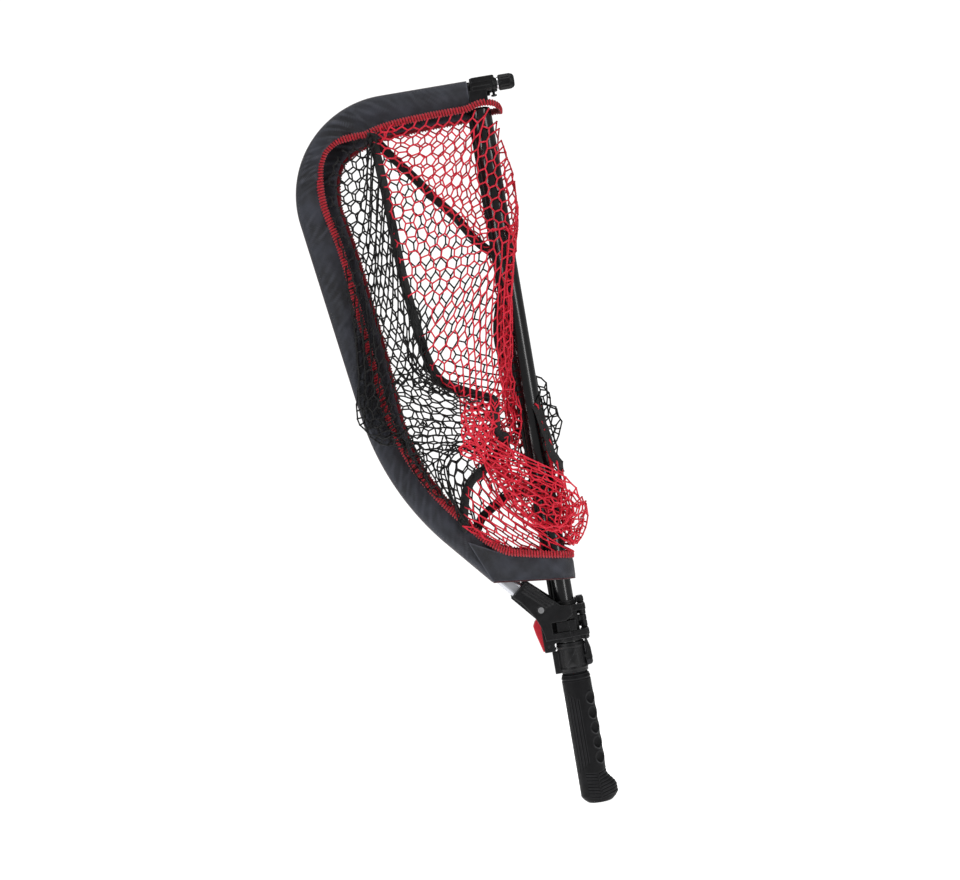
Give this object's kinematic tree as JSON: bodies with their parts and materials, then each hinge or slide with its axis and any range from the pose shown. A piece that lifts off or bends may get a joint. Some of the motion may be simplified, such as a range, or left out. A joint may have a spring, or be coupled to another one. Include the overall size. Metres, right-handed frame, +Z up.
{
  "type": "landing net",
  "caption": "Folding landing net: two hinged D-shaped hoop halves with a rubber mesh bag, on a head that slides along a gripped pole.",
  "frame": {"origin": "middle of the grip, on the pole's axis", "axes": "+Z up the pole to the tip; -X towards the closed hoop; -Y out of the front half"},
  "size_m": [0.2655, 0.088, 0.8034],
  "materials": {
    "pole_black": "gloss black anodised tube",
    "black_plastic": "moulded, lightly textured",
    "grey_plastic": "moulded, inner parts",
    "grip_rubber": "ribbed soft grip",
    "red_plastic": "moulded",
    "steel": "plated",
    "frame_aluminium": "satin anodised",
    "sleeve_fabric": "coated woven nylon with a soft sheen",
    "binding_red": "overlocked red edge",
    "net_red": "rubber-coated red mesh",
    "net_black": "rubber-coated black mesh with red panels"
  },
  "bodies": {
    "handle": {"pole_tube": "pole_black", "pole_end_plug": "black_plastic", "pole_bottom_plug": "black_plastic", "grip_core": "grey_plastic", "grip_cover": "grip_rubber", "butt_cap": "grip_rubber", "grip_rivet": "steel"},
    "head": {"head_housing": "black_plastic", "guide_bush_upper": "grey_plastic", "guide_bush_lower": "grey_plastic", "hinge_pin": "steel", "hinge_pin_clip": "steel", "clamp_collar": "black_plastic", "clamp_bolt": "steel", "clamp_nut": "steel", "trigger_pin": "steel", "trigger_spring": "steel", "spine_web": "sleeve_fabric", "spine_net": "net_red"},
    "front_half": {"front_arm": "black_plastic", "front_arm_screw": "steel", "front_tube": "frame_aluminium", "front_tube_insert": "frame_aluminium", "front_tip_fitting": "black_plastic", "tip_neck_ring": "steel", "tip_hinge_pin": "steel", "front_sleeve": "sleeve_fabric", "front_rim": "binding_red", "front_flap": "sleeve_fabric", "front_net": "net_black"},
    "tip_lock": {"tip_knob": "black_plastic"},
    "rear_half": {"rear_arm": "black_plastic", "rear_arm_screw": "steel", "rear_tube": "frame_aluminium", "rear_tube_insert": "frame_aluminium", "rear_tip_fitting": "black_plastic", "rear_sleeve": "sleeve_fabric", "rear_rim": "binding_red", "rear_flap": "sleeve_fabric", "rear_net": "net_black"},
    "trigger": {"trigger": "red_plastic", "latch_pawl": "steel"},
    "clamp_lever": {"clamp_lever": "black_plastic"}
  },
  "joints": [
    {"name": "head_slide", "type": "slide", "parent": "handle", "child": "head", "axis": [0, 0, 1], "range_m": [0, 0.5]},
    {"name": "front_swing", "type": "hinge", "parent": "head", "child": "front_half", "pos_m": [0.018, 0, 0.13], "axis": [0, 0, 1], "range_deg": [0, 90]},
    {"name": "rear_swing", "type": "hinge", "parent": "head", "child": "rear_half", "pos_m": [0.018, 0, 0.13], "axis": [0, 0, 1], "range_deg": [-90, 0]},
    {"name": "tip_lock_turn", "type": "hinge", "parent": "front_half", "child": "tip_lock", "pos_m": [0.0242, -0.011, 0.7223], "axis": [1, 0, 0], "range_deg": [0, 90]},
    {"name": "trigger_pull", "type": "hinge", "parent": "head", "child": "trigger", "pos_m": [-0.024, 0, 0.104], "axis": [0, 1, 0], "range_deg": [0, 7], "stiffness_Nm_per_rad": 1.5, "springref_deg": -2.86},
    {"name": "clamp_flip", "type": "hinge", "parent": "head", "child": "clamp_lever", "pos_m": [0.0175, 0, 0.082], "axis": [0, 1, 0], "range_deg": [0, 100]}
  ],
  "couplings": [
    {"joint": "rear_swing", "follows": "front_swing", "ratio": -1}
  ]
}
